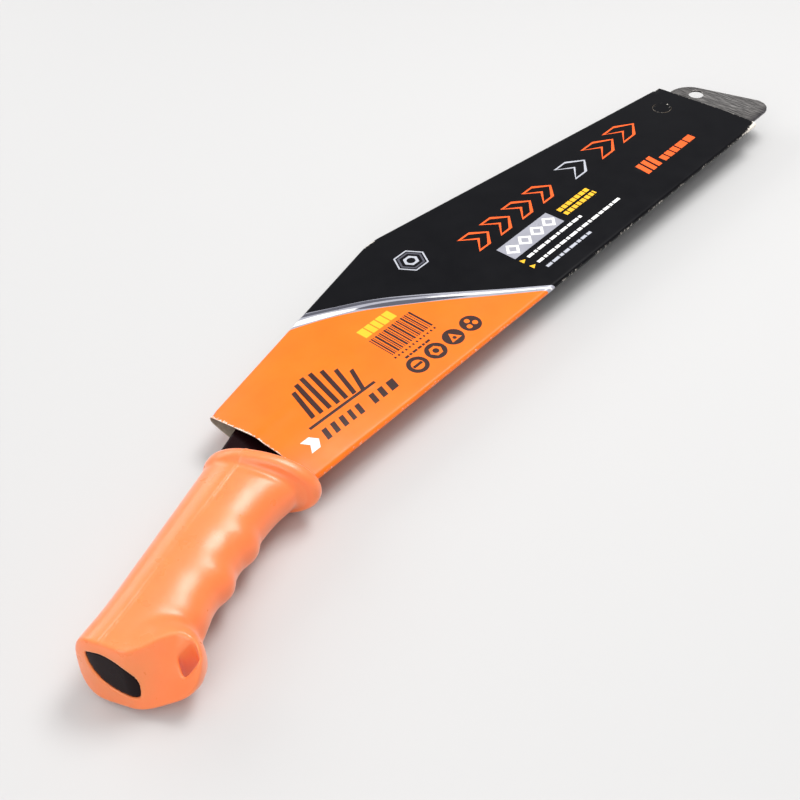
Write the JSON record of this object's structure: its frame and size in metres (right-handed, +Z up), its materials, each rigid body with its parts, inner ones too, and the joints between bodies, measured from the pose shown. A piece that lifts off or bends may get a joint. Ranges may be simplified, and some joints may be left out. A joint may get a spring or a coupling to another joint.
{
  "type": "hand saw in card sleeve",
  "caption": "General-purpose hand saw with a toothed steel blade, a straight soft-grip handle with a lanyard hole, and a printed folded card sleeve that slides off.",
  "frame": {"origin": "centre of the hang hole, in the middle of the blade's thickness", "axes": "+X along the blade towards its tip, +Y towards the back edge, +Z up out of the blade's face"},
  "size_m": [0.5191, 0.1387, 0.0366],
  "materials": {
    "blade_steel": "cross-brushed steel with a brighter ground edge",
    "core_plastic": "smooth black moulded plastic",
    "grip_rubber": "satin orange thermoplastic rubber",
    "printed_card": "orange and black coated print with a silver band",
    "bare_card": "uncoated grey board"
  },
  "bodies": {
    "saw": {"blade": "blade_steel", "handle_core": "core_plastic", "grip": "grip_rubber", "grip_butt": "grip_rubber"},
    "sleeve": {"sleeve_front_panel": "printed_card", "sleeve_back_panel": "printed_card", "sleeve_tooth_fold": "printed_card", "sleeve_back_fold": "printed_card", "sleeve_long_flap": "bare_card", "sleeve_mouth_flap": "bare_card", "sleeve_round_tab": "printed_card"}
  },
  "joints": [
    {"name": "sleeve_slide", "type": "slide", "parent": "saw", "child": "sleeve", "axis": [1, 0, 0], "range_m": [0, 0.375]}
  ]
}
